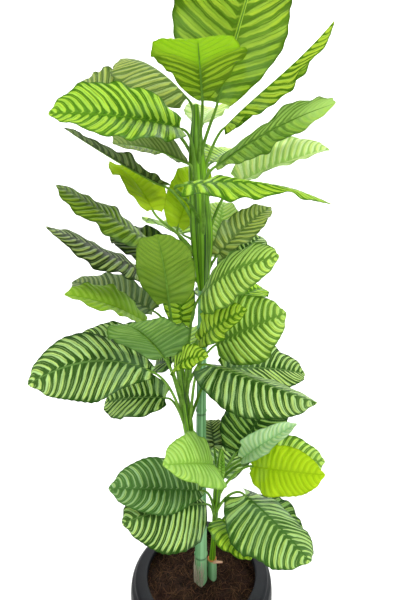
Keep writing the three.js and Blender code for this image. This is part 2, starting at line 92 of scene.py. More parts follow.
# Leaves: name, height at which the petiole leaves its head, blade base, blade tip, width,
# the way the upper face looks, and the form, as in the CAD source
LEAVES = [
    ("upper_01", 1180, (31, -45, 1264), (98, -185, 1462), 200, (0, 0.8, 0.6),
     dict(arch=(5, 5), fold=(30, 0))),
    ("upper_02", 1165, (8, -85, 1266), (5, -235, 1302), 134, (-0.06, 0.2, 1),
     dict(arch=(12, 12), fold=(8, 12), full=1.4)),
    ("upper_03", 1200, (-18, 20, 1286), (-156, 110, 1380), 150, (0, -0.8, 0.6),
     dict(arch=(40, 32), fold=(0, -60))),
    ("upper_04", 1185, (-142, 60, 1296), (-268, 140, 1320), 110, (-0.2, -0.75, 0.65), dict()),
    ("upper_05", 1120, (-26, -60, 1226), (-214, -150, 1233), 132, (0, -0.74, 0.67),
     dict(arch=(12, 12), fold=(10, 18))),
    ("upper_06", 1110, (-16, -10, 1173), (-180, 110, 1222), 125, (0, 0.5, 0.85), dict()),
    ("upper_07", 1060, (-60, -20, 1134), (-206, -110, 1220), 92, (0.45, 0.1, 0.88), dict(arch=(-4, -4))),
    ("upper_08", 1150, (41, -15, 1231), (199, -120, 1363), 56, (-0.7, -0.1, 0.7),
     dict(arch=(5, -10), fold=(-62, -62))),
    ("upper_09", 1030, (25, -90, 1162), (237, -20, 1274), 130, (-0.3, 0.4, 0.87),
     dict(fold=(-3, -8), lobe=0, full=1.1)),
    ("upper_10", 1040, (69, 20, 1140), (243, 20, 1201), 125, (0.1, -0.75, 0.65),
     dict(arch=(12, 15), fold=(5, 48), full=0.78)),
    ("upper_11", 1060, (-24, -138, 1134), (204, -152, 1106), 112, (0, -0.17, 0.98),
     dict(arch=(18, 27), fold=(-8, -12), twist=24, full=0.74)),
    ("upper_12", 1190, (5, 60, 1250), (40, 230, 1310), 110, (0, 0.2, 1), dict()),
    ("upper_13", 1000, (-82, -30, 1090), (-172, 80, 1180), 100, (0.35, -0.35, 0.85), dict()),
    ("upper_14", 985, (-44, 25, 1056), (3, 120, 1182), 95, (0, -0.8, 0.6), dict()),
    ("upper_15", 985, (-91, -30, 1034), (-240, -70, 1136), 110, (-0.1, -0.4, 0.85),
     dict(arch=(4, 4), fold=(0, -15))),
    ("upper_16", 950, (-95, -30, 974), (-248, -110, 1070), 116, (-0.1, -0.5, 0.85),
     dict(arch=(4, 4), fold=(5, -25))),
    ("upper_17", 950, (-50, 40, 975), (-190, 100, 1040), 110, (0, -0.5, 0.85), dict()),
    ("upper_18", 975, (30, 40, 995), (50, 150, 1105), 100, (0, -0.7, 0.7), dict()),
    ("upper_19", 960, (32, 10, 1003), (146, 80, 1096), 78, (0, -0.6, 0.8), dict()),
    ("upper_20", 945, (50, 50, 965), (135, 130, 1030), 90, (0, -0.6, 0.8), dict()),
    ("upper_21", 1130, (20, 60, 1180), (110, 240, 1215), 125, (0, 0, 1), dict()),
    ("upper_22", 1010, (-35, 70, 1040), (-120, 250, 1050), 125, (0, 0, 1), dict()),
    ("upper_23", 950, (10, 65, 905), (75, 220, 850), 125, (0, 0, 1), dict()),
    ("middle_01", 745, (-52, -85, 930), (-55, -205, 1065), 110, (0, 0.75, 0.65), dict(full=0.78)),
    ("middle_02", 705, (-93, 25, 887), (-282, 95, 935), 100, (0, -0.45, 0.9), dict()),
    ("middle_03", 690, (-102, -30, 878), (-228, -110, 955), 105, (-0.1, -0.4, 0.9), dict()),
    ("middle_04", 740, (2, -60, 940), (126, -165, 1028), 132, (0, -0.7, 0.7),
     dict(bow=-12, fold=(-15, -5), full=0.74)),
    ("middle_05", 782, (46, 2, 897), (134, 78, 925), 102, (0, -0.5, 0.85), dict(lobe=0)),
    ("middle_06", 715, (-1, -56, 851), (83, -125, 933), 75, (-0.4, -0.7, 0.6), dict()),
    ("middle_07", 770, (-35, -10, 870), (-45, 15, 965), 70, (0, -0.9, 0.4), dict()),
    ("middle_08", 700, (-46, -84, 808), (18, -142, 856), 60, (-0.2, -0.6, 0.8), dict()),
    ("middle_09", 672, (-65, -60, 818), (-106, -195, 928), 150, (-0.25, 0.6, 0.75), dict(fold=(0, 20))),
    ("middle_10", 648, (-86, -65, 792), (-293, -140, 803), 152, (0, -0.85, 0.5),
     dict(bow=40, fold=(5, -32), full=1.25)),
    ("middle_11", 640, (-70, 0, 706), (-214, 45, 672), 118, (0, -0.6, 0.8), dict()),
    ("middle_12", 680, (-65, 35, 798), (-285, 80, 803), 120, (0, -0.4, 0.9), dict()),
    ("middle_13", 655, (14, -84, 817), (189, -202, 802), 145, (0, -0.75, 0.65),
     dict(arch=(15, 8), fold=(-64, 5), lobe=28)),
    ("middle_14", 668, (40, -20, 780), (225, 35, 745), 120, (0, -0.5, 0.85), dict()),
    ("middle_15", 660, (-58, 55, 765), (-118, 165, 700), 105, (-0.2, -0.6, 0.7), dict()),
    ("middle_16", 700, (-30, 62, 788), (-100, 240, 770), 125, (0, 0, 1), dict()),
    ("middle_17", 736, (30, -25, 833), (152, -106, 922), 138, (-0.2, -0.8, 0.5), dict(fold=(12, -12))),
    ("lower_01", 500, (30, 45, 556), (20, 115, 589), 72, (0, -0.7, 0.7), dict()),
    ("lower_02", 500, (77, 35, 546), (174, 100, 673), 160, (0, -0.85, 0.5), dict()),
    ("lower_03", 520, (88, -25, 578), (184, -95, 702), 65, (-0.3, -0.7, 0.6), dict(fold=(40, 40))),
    ("lower_04", 505, (112, 2, 553), (263, -28, 574), 105, (0, -0.7, 0.7), dict()),
    ("lower_05", 472, (106, -44, 574), (227, -150, 632), 105, (-0.2, -0.8, 0.5), dict()),
    ("lower_06", 530, (28, -40, 574), (-59, -190, 681), 125, (0.88, -0.2, 0.42), dict(fold=(30, 0))),
    ("lower_07", 428, (5, -45, 515), (-164, -150, 604), 118, (0, -0.75, 0.65),
     dict(fold=(38, 10), full=1.45)),
    ("lower_08", 408, (14, -50, 486), (-134, -185, 560), 170, (0, -0.8, 0.6),
     dict(arch=(30, 15), bow=12, fold=(-4, -48), lobe=12, full=0.76)),
    ("lower_09", 428, (88, -62, 522), (193, -215, 509), 172, (0, -0.3, 0.95),
     dict(arch=(14, 12), fold=(-38, -22), lobe=46, full=0.88)),
    ("lower_10", 370, (116, 10, 439), (222, -50, 393), 90, (0, -0.3, 0.95), dict()),
    ("lower_11", 378, (44, -50, 447), (98, -150, 446), 102, (0, -0.3, 0.95), dict(full=0.84)),
    ("lower_12", 545, (44, -20, 537), (45, -22, 600), 30, (0, -1, 0.1), dict(fold=(60, 60))),
    ("lower_13", 440, (50, 50, 470), (120, 230, 480), 125, (0, 0, 1), dict()),
]
FORM = dict(arch=(15, 15), bow=0, fold=(15, 15), twist=0, puff=0.2, wave=4, waves=2, lobe=10, full=0.92)
OUTLINE_POWER = 0.58
PHASE_STEP = 0.37
MARGIN_PHASE = 0.2
TIP_HALF_WIDTH = 1.5
PETIOLE_ROOT_RADIUS = 3.4
PETIOLE_END_RADIUS = 2.3
ROOT_OFFSET = 0.55
PETIOLE_LEAN = 0.25
PETIOLE_RISE = 0.4
PETIOLE_ARRIVAL = 0.22

# Finer detail of the blades, beyond the CAD source
BLADE_ROWS = 100
BLADE_COLUMNS = 13
BLADE_START = 0.02
SEED_STEP = 0.713
VEIN_SWEEP = 0.19
VEIN_BEND = 0.4
STRIPE_PITCH = 12.5
FEWEST_STRIPES = 10
MOST_STRIPES = 16
PLEAT = 1.1
PLEAT_START = 0.25
PLEAT_END = 0.85
RIPPLE = 3.0
RIPPLES = 4
SECOND_RIPPLE = 0.6
SECOND_RIPPLE_TURNS = 1.73
SECOND_RIPPLE_SHIFT = 0.3
SIDE_SHIFT = 0.4
SCALLOP = 0.01
UNEVEN = 0.045
UNEVEN_TURNS = 1.7
BLADE_LIFT = 0.45
MARGIN_LIFT = 0.2
TIP_PINCH = 0.34
TIP_PINCHED = (0.93, 0.97)

# The petiole and the midrib under the blade, as one tube that thins towards the tip
TUBE_SIDES = 10
STALK_POINTS = 15
RIB_POINTS = 18
RIB_SPAN = (0.04, 0.93)
RIB_TIP_RADIUS = 0.35
RIB_BASE_EXTRA = 1.75
RIB_TAPER = 1.3
FULL_RIB_WIDTH = 90
RIB_SUNK_BY = 0.1

# What each point of a leaf carries for its material: the count of stripes, the place along the
# blade and out from the midrib, whether it is on the under side or the stalk, the leaf's own
# seed, and which half it is in
LEAF_MARKS = ("rank", "along", "out", "under", "stalk", "seed", "side")

# Kinds of leaf: the dark ground and the pale stripe in sRGB, how plainly the stripes show, how
# wide they are as a share of their pitch, how pale the midrib is, and the leaves of the kind
KINDS = {
    # middle_06 takes these colours, paler than its own, as painted light where it lies in the shade of
    # middle_04
    "bright": ((84, 136, 16), (198, 236, 84), 1.0, 0.3, 0.3,
               "upper_08 middle_06 middle_07 middle_08 lower_11"),
    "crown": ((74, 124, 2), (216, 246, 94), 1.0, 0.27, 1.0, "upper_01"),
    "spring": ((78, 134, 16), (186, 232, 84), 1.0, 0.26, 0.2, "upper_05 upper_11 middle_05"),
    "fresh": ((104, 152, 48), (208, 244, 132), 1.0, 0.28, 0.1,
              "middle_04 middle_17 lower_04 upper_21 upper_22 middle_16"),
    "dawn": ((92, 140, 38), (208, 244, 132), 1.0, 0.28, 0.1, "upper_09"),
    "zebra": ((44, 86, 16), (196, 234, 152), 1.0, 0.22, 0.4,
              "middle_11 middle_12 middle_10 middle_13 middle_14 lower_08 upper_20 upper_23 lower_13"),
    "meadow": ((62, 108, 34), (190, 230, 142), 1.0, 0.22, 0.1, "lower_09"),
    "dusk": ((30, 52, 6), (166, 194, 126), 0.95, 0.22, 0.3, "upper_07 upper_16 lower_01"),
    "moss": ((72, 106, 8), (152, 190, 70), 0.85, 0.22, 0.4, "upper_15"),
    # Darker colours as painted shade, for a leaf that lies in shade at the back
    "darkened_for_shade": ((20, 46, 4), (110, 140, 72), 0.9, 0.18, 0.2, "upper_17"),
    "dark": ((34, 72, 16), (158, 202, 112), 0.95, 0.2, 0.2, "middle_15 lower_02 lower_10"),
    "blue": ((70, 118, 44), (186, 224, 164), 0.9, 0.17, 0.2, "lower_07"),
    # upper_19 takes these colours partly for its own paler tone and partly as painted light where it lies
    # in shade
    "grey": ((100, 130, 56), (188, 212, 128), 0.95, 0.25, 0.3, "upper_03 upper_04 upper_06 upper_19"),
    "slate": ((84, 112, 64), (178, 200, 146), 0.75, 0.22, 0.1, "middle_02"),
    # Bright yellow-lime as painted light, for light shining through these blades where they lie in shade
    "backlit_olive": ((182, 218, 26), (206, 232, 70), 0.3, 0.25, 0.0, "upper_13 upper_14"),
    "green": ((108, 150, 34), (172, 208, 88), 0.5, 0.25, 0.0, "middle_01"),
    "sage": ((78, 128, 30), (186, 232, 150), 0.75, 0.25, 0.0, "middle_09"),
    "leaf": ((130, 178, 34), (186, 222, 96), 0.4, 0.25, 0.0, "middle_03"),
    "lime": ((170, 206, 22), (206, 238, 44), 0.5, 0.25, 0.0, "lower_05"),
    # Plain bright lime as painted light shining through the blade; only the foot shows the dark striped
    # ground
    "backlit_front": ((152, 210, 6), (202, 236, 80), 0.35, 0.25, 0.0, "upper_02"),
    "pear": ((150, 202, 74), (216, 250, 150), 0.6, 0.28, 0.0, "lower_06 lower_12"),
    # upper_18 takes these colours, paler than its own, as painted light where it lies in shade at the
    # back
    "pale": ((164, 206, 98), (242, 255, 206), 0.7, 0.3, 0.1, "upper_10 upper_12 upper_18"),
    "mint": ((176, 220, 156), (240, 255, 228), 0.6, 0.25, 0.1, "lower_03"),
}
# Kinds whose foot is darker and plainly striped, with the colour of that foot in sRGB, and the stretch of
# the blade over which the foot sets in.
# Above the foot, such a blade is painted plain bright lime as light shining through it.
STRIPED_FOOT = {"backlit_front": (40, 88, 4)}
FOOT_SPAN = (0.62, 0.4)
# How far the tip fades to the pale colour, where it fades more than a little
PALE_TIP = {"dawn": 0.9}

# Stripes. Widths, shifts and edges count across a stripe, as shares of its pitch. Starts, ends
# and spans count out from the midrib, where 1 is the margin.
STRIPE_WOBBLE = 0.3
STRIPE_SHIFT = 0.14
NARROWER_BY = 0.15
WIDTH_SPREAD = 0.18
ROOT_WIDTH = 0.08
SOFT_EDGE = (0.05, -0.06)
START_SPREAD = 0.06
SWELL_END = 0.22
TAPER_SPAN = (0.78, 0.98)
TAPER_TO = 0.45
END_SPAN = (0.97, 0.87)
END_SPREAD = 0.06
END_NOISE = 0.14
SPLIT_SPREAD = 0.2
SPLIT_EDGE = (0.05, 0.015)
SPLIT_SPAN = (0.2, 0.4)
SPLIT_DEPTH = 0.95
THREAD_EDGE = (0.05, 0.02)
THREAD_START = (0.25, 0.5)
THREAD_END = (0.9, 0.75)
THREAD_STRENGTH = 0.5
VEINLETS = 4
VEINLET_HEIGHT = 0.25
UNDER_FADE = 0.25
WARM_EDGE = 0.15
MARGIN_SPAN = (0.94, 0.99)
MIDRIB_SPAN = (0.035, 0.015)

# Noise on the blades: scales per metre, the streaks across and along a stripe, and the steps
# that keep the random draws of leaves, halves and stripes apart
BROAD_SCALE = 16.0
WOBBLE_SCALE = 55.0
RAGGED_SCALE = 90.0
STREAKS_ACROSS = 6.0
STREAKS_ALONG = 2.5
STREAK_SIDE_STEP = 5.0
SEED_LABEL = 7.3
SIDE_LABEL = 37.0
DRAW_SHIFTS = (0.0, 0.31, 0.62)

# Colours shared by all kinds, in sRGB, with how strongly they cover, and the blades' surface
# The first colour is a painted sheen: a pale glossy patch laid near the foot of the blades
PAINTED_SHEEN = (150, 188, 150)
PAINTED_SHEEN_COVER = 0.22
FROST = (185, 205, 150)
FROST_COVER = 0.35
STALK_DARK = (84, 130, 36)
STALK_PALE = (150, 196, 84)
BLADE_GLOW = 0.32
BLADE_SHINE = 0.08
BLADE_ROUGHNESS = (0.48, 0.34)

# Canes: name, the piece of the frame it belongs to, its curve, and its points along and round.
# Each has raised rings at even heights, with a shallow groove below each, where shade is painted.
CANES = (
    ("fine_tall_pole", "tall_pole", TALL_POLE, 420, 48),
    ("fine_short_pole", "short_pole", SHORT_POLE, 160, 40),
    ("fine_side_branch", "tall_pole", SIDE_BRANCH, 24, 32),
)
RING_FOOT = 34
RING_SPACING = 92
RING_RISE = 1.6
RING_REACH = 3.2
GROOVE_DEPTH = 0.5
GROOVE_BELOW = 6
GROOVE_REACH = 2.2

# Sheaths: stems side by side that wind a little, with creases between them where shade is painted
HEAD_POINTS = 90
HEAD_SIDES = 72
SHEATH_STEMS = 5
SHEATH_WIND = 0.1
SHEATH_RELIEF = 0.2
SHEATH_ROUNDNESS = 0.6
SHEATH_LEVEL = 0.75
CREASE_WIDTH = 0.22
CREASE_SHADE = 0.7
TENTH_OF_METRE = 100

# Pot: the brow is the round outer edge of the top, and the lip is the edge of the mouth
POT_POINTS = 42
POT_SIDES = 128
POT_FOOT = [(2, 0), (104, 0), (107.5, 0.6), (109.4, 1.8)]
WALL_END = 252
BROW_AT = (148, POT_HEIGHT - 8)
BROW_RADIUS = 7.4
BROW_START = -0.2
BROW_POINTS = 8
LIP_RADIUS = 4
LIP_POINTS = 6
LIP_BACK = (POT_MOUTH_RADIUS + 6, POT_HEIGHT - LIP_DEPTH - 3)

# Coir: a lumpy surface with a slight heap round the poles, and loose fibres on it
COIR_RINGS = 60
COIR_SIDES = 120
COIR_BUMP = 3.2
COIR_GRAIN = 1.1
COIR_SKIRT = 10
COIR_GAP = 0.6
COIR_OVERLAP = 3
COIR_MIDDLE = 1.5
HEAP = 4
HEAP_AT = (10, 4)
HEAP_SPREAD = 2600
FIBRES = 1500
FIBRE_POINTS = 6
FIBRE_SIDES = 4
FIBRE_LENGTH = (9, 34)
FIBRE_BEND = 1.2
FIBRE_CURL = 5
FIBRE_FLICK = (-1, 4)
FIBRE_LIFT = (0.2, 1.8)
FIBRE_RADIUS = (0.22, 0.5)

# Tuft of pale fibre on the tall pole. Its arc is in degrees round the pole.
HAIRS = 150
HAIR_ARC = (150, 290)
HAIR_FOOT = (210, 262)
HAIR_LENGTH = (16, 52)
HAIR_OFF_AXIS = 15.2
HAIR_BULGE = 2.5
HAIR_TURN = 0.5
HAIR_RADIUS = (0.15, 0.35)
HAIR_TONE = (0.2, 1)

# The cut end of the short pole and a small twig, as rows of centre and radius
CUT_END = [(25, 10, 283, 10.9), (25, 10, 285.2, 10.6), (25, 10, 286.6, 9.2), (25, 10, 287, 7.5)]
CUT_SIDES = 40
TWIG = [(27, 3, 281, 3.2), (34, -2, 287, 2.9), (42, -5, 290, 2.4), (49, -6, 291, 2.0)]
TWIG_POINTS = 14
TWIG_SIDES = 12
TWIG_RIPPLE = 0.25

# Stage: a floor that curves up into a backdrop behind the plant
FLOOR_FRONT = -3500
CURVE_START = 2500
CURVE_RADIUS = 1500
CURVE_POINTS = 16
BACKDROP_HEIGHT = 7000
STAGE_HALF_WIDTH = 7000

# Lights: place, what they are aimed at, size and power. The camera's pitch is in degrees below
# level, and its lens and sensor are in millimetres.
LIGHTS = {
    "key": ((1.5, -2.0, 3.2), (0, 0, 0.8), 1.0, 55),
    "fill": ((-2.4, -1.6, 1.8), (0, 0, 0.8), 1.8, 12),
    "back": ((0.6, 2.0, 2.8), (0, 0, 0.9), 1.4, 25),
    "wash": ((0, 1.6, 3.6), (0, 4, 1.6), 2.0, 120),
}
SKY_STRENGTH = 1.0
CAMERA_PLACE = (0.020, -0.800, 1.118)
CAMERA_PITCH = 14
LENS = 25
SENSOR = 36


# Vectors and curves


def unit(vectors):
    vectors = np.asarray(vectors, float)
    return vectors / np.linalg.norm(vectors, axis=-1, keepdims=True)


def dot(a, b):
    return np.sum(a * b, axis=-1, keepdims=True)


def bezier(points, t):
    """Point and tangent of a cubic at t, for t of any shape."""
    p0, p1, p2, p3 = (np.asarray(p, float) for p in points)
    t = np.asarray(t, float)[..., None]
    s = 1 - t
    place = s**3 * p0 + 3 * s * s * t * p1 + 3 * s * t * t * p2 + t**3 * p3
    slope = 3 * s * s * (p1 - p0) + 6 * s * t * (p2 - p1) + 3 * t * t * (p3 - p2)
    return place, unit(slope)


def smooth_path(rows, count):
    """A Catmull-Rom run through rows of numbers."""
    rows = np.asarray(rows, float)
    padded = np.vstack([2 * rows[0] - rows[1], rows, 2 * rows[-1] - rows[-2]])
    out = []
    for u in np.linspace(0, len(rows) - 1, count):
        i = min(int(u), len(rows) - 2)
        f = u - i
        a, b, c, d = padded[i:i + 4]
        out.append(0.5 * (2 * b + (c - a) * f + (2 * a - 5 * b + 4 * c - d) * f**2
                          + (3 * b - a - 3 * c + d) * f**3))
    return np.array(out)


def row_at(table, z):
    """The row of a table of centres and radii at height z."""
    table = np.asarray(table, float)
    return np.array([np.interp(z, table[:, 2], table[:, k]) for k in range(4)])


def smoothstep(low, high, x):
    f = np.clip((x - low) / (high - low), 0, 1)
    return f * f * (3 - 2 * f)


# Meshes


class Shape:
    """Vertices in millimetres, faces, and numbers carried by the vertices for the materials."""

    def __init__(self, *names):
        self.names = names
        self.points = []
        self.faces = []
        self.values = {name: [] for name in names}
        self.count = 0

    def add(self, points, faces, **values):
        points = np.asarray(points, float).reshape(-1, 3)
        self.points.append(points)
        self.faces += [tuple(int(k) + self.count for k in face) for face in faces]
        for name in self.names:
            value = np.asarray(values.get(name, 0), float)
            value = value.reshape(-1) if value.ndim else value
            self.values[name].append(np.broadcast_to(value, len(points)))
        self.count += len(points)

    def piece(self, name, node, slot, material, sharp=50):
        mesh = bpy.data.meshes.new(name)
        points = np.clip(np.vstack(self.points) * MM, *CAD_BOX)
        mesh.from_pydata(points.tolist(), [], self.faces)
        mesh.polygons.foreach_set("use_smooth", [True] * len(mesh.polygons))
        for key in self.names:
            attribute = mesh.attributes.new(key, "FLOAT", "POINT")
            attribute.data.foreach_set("value", np.concatenate(self.values[key]).astype(np.float32))
        mesh.set_sharp_from_angle(angle=math.radians(sharp))
        mesh.materials.append(material)
        made = bpy.data.objects.new(name, mesh)
        bpy.context.scene.collection.objects.link(made)
        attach(made, "root")
        if node:
            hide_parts(node)


def quads(rows, columns, closed=False):
    """Faces of a grid of points, row by row. A closed grid joins its last column to its first."""
    faces = []
    for i in range(rows - 1):
        for j in range(columns if closed else columns - 1):
            k = (j + 1) % columns
            faces.append((i * columns + j, i * columns + k, (i + 1) * columns + k, (i + 1) * columns + j))
    return faces


def sheet_faces(rows, columns):
    """A thin closed sheet: an upper grid, a lower grid after it, and the margin between them."""
    count = rows * columns
    faces = quads(rows, columns)
    faces += [tuple(k + count for k in face[::-1]) for face in quads(rows, columns)]
    loop = list(range(columns))
    loop += [i * columns + columns - 1 for i in range(1, rows)]
    loop += [(rows - 1) * columns + j for j in range(columns - 2, -1, -1)]
    loop += [i * columns for i in range(rows - 2, 0, -1)]
    for a, b in zip(loop, loop[1:] + loop[:1]):
        faces.append((b, a, a + count, b + count))
    return faces


def tube_rings(path, radii, sides, side=(1, 0, 0)):
    """Rings of points round a path. radii has one number or one row of numbers for each point."""
    path = np.asarray(path, float)
    axes = unit(np.gradient(path, axis=0))
    radii = np.asarray(radii, float)
    if radii.ndim == 1:
        radii = np.repeat(radii[:, None], sides, axis=1)
    angles = 2 * math.pi * np.arange(sides) / sides
    side = np.asarray(side, float)
    rings = []
    for place, axis, radius in zip(path, axes, radii):
        side = unit(side - axis * side.dot(axis))
        up = np.cross(axis, side)
        spokes = np.cos(angles)[:, None] * side + np.sin(angles)[:, None] * up
        rings.append(place + radius[:, None] * spokes)
    return np.array(rings)


def tube_faces(rings, sides):
    """Faces of a tube with closed ends."""
    faces = quads(rings, sides, closed=True)
    faces.append(tuple(range(sides - 1, -1, -1)))
    faces.append(tuple(range((rings - 1) * sides, rings * sides)))
    return faces


# Leaves


def leaf_of(row, index):
    """The form of one leaf, with the curves of its midrib and its petiole."""
    name, height, base, tip, width, face, form = row
    leaf = {**FORM, "phase": (index * PHASE_STEP) % 1, **form}
    leaf.update(name=name, width=width, seed=index * SEED_STEP)
    base, tip, face = (np.asarray(p, float) for p in (base, tip, face))
    chord = tip - base
    direction = unit(chord)
    normal = unit(face - direction * face.dot(direction))
    across = np.cross(direction, normal)
    handles = [base + chord * share + normal * rise + across * leaf["bow"]
               for share, rise in zip((1 / 3, 2 / 3), leaf["arch"])]
    stripes = np.clip(round(np.linalg.norm(chord) / STRIPE_PITCH), FEWEST_STRIPES, MOST_STRIPES)
    leaf.update(curve=(base, *handles, tip), normal=normal, stripes=int(stripes))
    x, y, _, radius = row_at(HEADS[name.split("_")[0]], height)
    away = unit(base[:2] - (x, y)) * ROOT_OFFSET * radius
    root = np.array([x + away[0], y + away[1], height])
    reach = base - root
    length = np.linalg.norm(reach)
    rising = root + (reach[0] * PETIOLE_LEAN, reach[1] * PETIOLE_LEAN, length * PETIOLE_RISE)
    arriving = base - bezier(leaf["curve"], 0.0)[1] * PETIOLE_ARRIVAL * length
    leaf["petiole"] = (root, rising, arriving, base)
    return leaf


def blade_frame(leaf, t):
    """Point, tangent, normal and side on the midrib."""
    place, tangent = bezier(leaf["curve"], t)
    normal = unit(leaf["normal"] - tangent * dot(tangent, leaf["normal"]))
    turn = -math.radians(leaf["twist"]) * (np.asarray(t)[..., None] - 0.5)
    normal = normal * np.cos(turn) + np.cross(tangent, normal) * np.sin(turn)
    return place, tangent, normal, np.cross(tangent, normal)


def stripe_rank(leaf, s, v):
    """Counts the stripes along each half. A stripe's middle lies half way between whole numbers."""
    return leaf["stripes"] * s + leaf["seed"] + np.where(v > 0, 0.5, 0)


def blade_points(leaf, s, v, lift):
    """Points of the blade. s counts along the midrib, and veins run outwards at one s."""
    out = np.abs(v)
    t = s + VEIN_SWEEP * 4 * s * (1 - s) * ((1 - VEIN_BEND) * out + VEIN_BEND * out**2)
    place, tangent, normal, side = blade_frame(leaf, t)
    share = np.maximum(np.sin(math.pi * np.clip(t, 0, 1) ** leaf["full"]), 0) ** OUTLINE_POWER
    rank = stripe_rank(leaf, s, v)

    # Half the width at each point, with a small point at the tip and a slightly uneven margin
    half = np.maximum(TIP_HALF_WIDTH, leaf["width"] / 2 * share)
    half = half * (1 - TIP_PINCH * smoothstep(*TIP_PINCHED, t))
    sway = np.sin(2 * math.pi * (UNEVEN_TURNS * t + leaf["seed"] + SIDE_SHIFT * np.sign(v)))
    half = half * (1 + UNEVEN * (sway - 1))
    half = half * (1 + SCALLOP * np.minimum(out**4, 1) * (np.cos(2 * math.pi * rank) - 1))

    # Height over the chord: the fold at the midrib, the slow wave, the ripple and the pleats
    fold = np.radians(np.where(v > 0, leaf["fold"][1], leaf["fold"][0]))
    rise = half * (out * np.sin(fold) + leaf["puff"] * (out - out**2))
    phase = leaf["waves"] * t + leaf["phase"] + np.where(v > 0, MARGIN_PHASE, 0)
    rise = rise + leaf["wave"] * share * out**1.5 * np.sin(2 * math.pi * phase)
    turns = RIPPLES * t + leaf["seed"] + np.where(v > 0, SIDE_SHIFT, 0)
    second = np.sin(2 * math.pi * (SECOND_RIPPLE_TURNS * turns + SECOND_RIPPLE_SHIFT))
    ripple = np.sin(2 * math.pi * turns) + SECOND_RIPPLE * second
    rise = rise + RIPPLE * share * out**3 * ripple
    pleats = -np.cos(2 * math.pi * rank)
    pleated = smoothstep(0, PLEAT_START, out) * (1 - smoothstep(PLEAT_END, 1, out))
    rise = rise + PLEAT * share * pleats * pleated

    lift = lift * (BLADE_LIFT + (MARGIN_LIFT - BLADE_LIFT) * out**3)
    back = leaf["lobe"] * out**2 * (1 - t) ** 3
    sideways = half * v * np.cos(fold) - lift * np.sign(v) * np.sin(fold)
    upwards = rise + lift * np.where(v == 0, 1, np.cos(fold))
    return place - tangent * back[..., None] + side * sideways[..., None] + normal * upwards[..., None]


def rib_path(leaf):
    """The petiole, which runs on under the blade as its midrib, with its radii."""
    u = np.linspace(0, 1, STALK_POINTS)
    stalk, _ = bezier(leaf["petiole"], u)
    stalk_radii = PETIOLE_ROOT_RADIUS + (PETIOLE_END_RADIUS - PETIOLE_ROOT_RADIUS) * u
    t = np.linspace(*RIB_SPAN, RIB_POINTS)
    place, _, normal, _ = blade_frame(leaf, t)
    slim = min(1, leaf["width"] / FULL_RIB_WIDTH)
    radii = slim * (RIB_TIP_RADIUS + RIB_BASE_EXTRA * (1 - t) ** RIB_TAPER)
    place = place - normal * (radii * smoothstep(0, RIB_SUNK_BY, t))[:, None]
    return np.vstack([stalk, place]), np.concatenate([stalk_radii, radii])


def leaf_piece(row, index, materials):
    leaf = leaf_of(row, index)
    s = np.linspace(BLADE_START, 1, BLADE_ROWS)[:, None]
    half = np.linspace(0, 1, BLADE_COLUMNS)
    v = np.concatenate([-half[:0:-1], half])[None, :]
    s, v = np.broadcast_arrays(s, v)
    faces = (blade_points(leaf, s, v, lift).reshape(-1, 3) for lift in (1, -1))
    shape = Shape(*LEAF_MARKS)
    shape.add(np.concatenate([*faces]), sheet_faces(*s.shape), seed=leaf["seed"],
              rank=np.tile(stripe_rank(leaf, s, v).reshape(-1), 2),
              along=np.tile(s.reshape(-1), 2), out=np.tile(np.abs(v).reshape(-1), 2),
              side=np.tile((v.reshape(-1) > 0) * 1.0, 2), under=np.repeat([0.0, 1.0], s.size))
    path, radii = rib_path(leaf)
    along = np.linspace(0, 1, len(path))
    shape.add(tube_rings(path, radii, TUBE_SIDES), tube_faces(len(path), TUBE_SIDES),
              under=1, stalk=1, seed=leaf["seed"], along=np.repeat(along, TUBE_SIDES))
    head, number = leaf["name"].split("_")
    node = f"{head}_leaf_{number}"
    shape.piece(f"fine_{node}", node, "leaf", materials[leaf["name"]])


# Materials


def srgb(red, green, blue):
    """A colour given in sRGB, 0 to 255, as linear numbers with alpha."""
    def linear(value):
        value /= 255
        return value / 12.92 if value <= 0.04045 else ((value + 0.055) / 1.055) ** 2.4
    return (linear(red), linear(green), linear(blue), 1)


def blend(a, b, share):
    return [(1 - share) * x + share * y for x, y in zip(a, b)]


def shade(colour, share):
    return [share * c for c in colour]


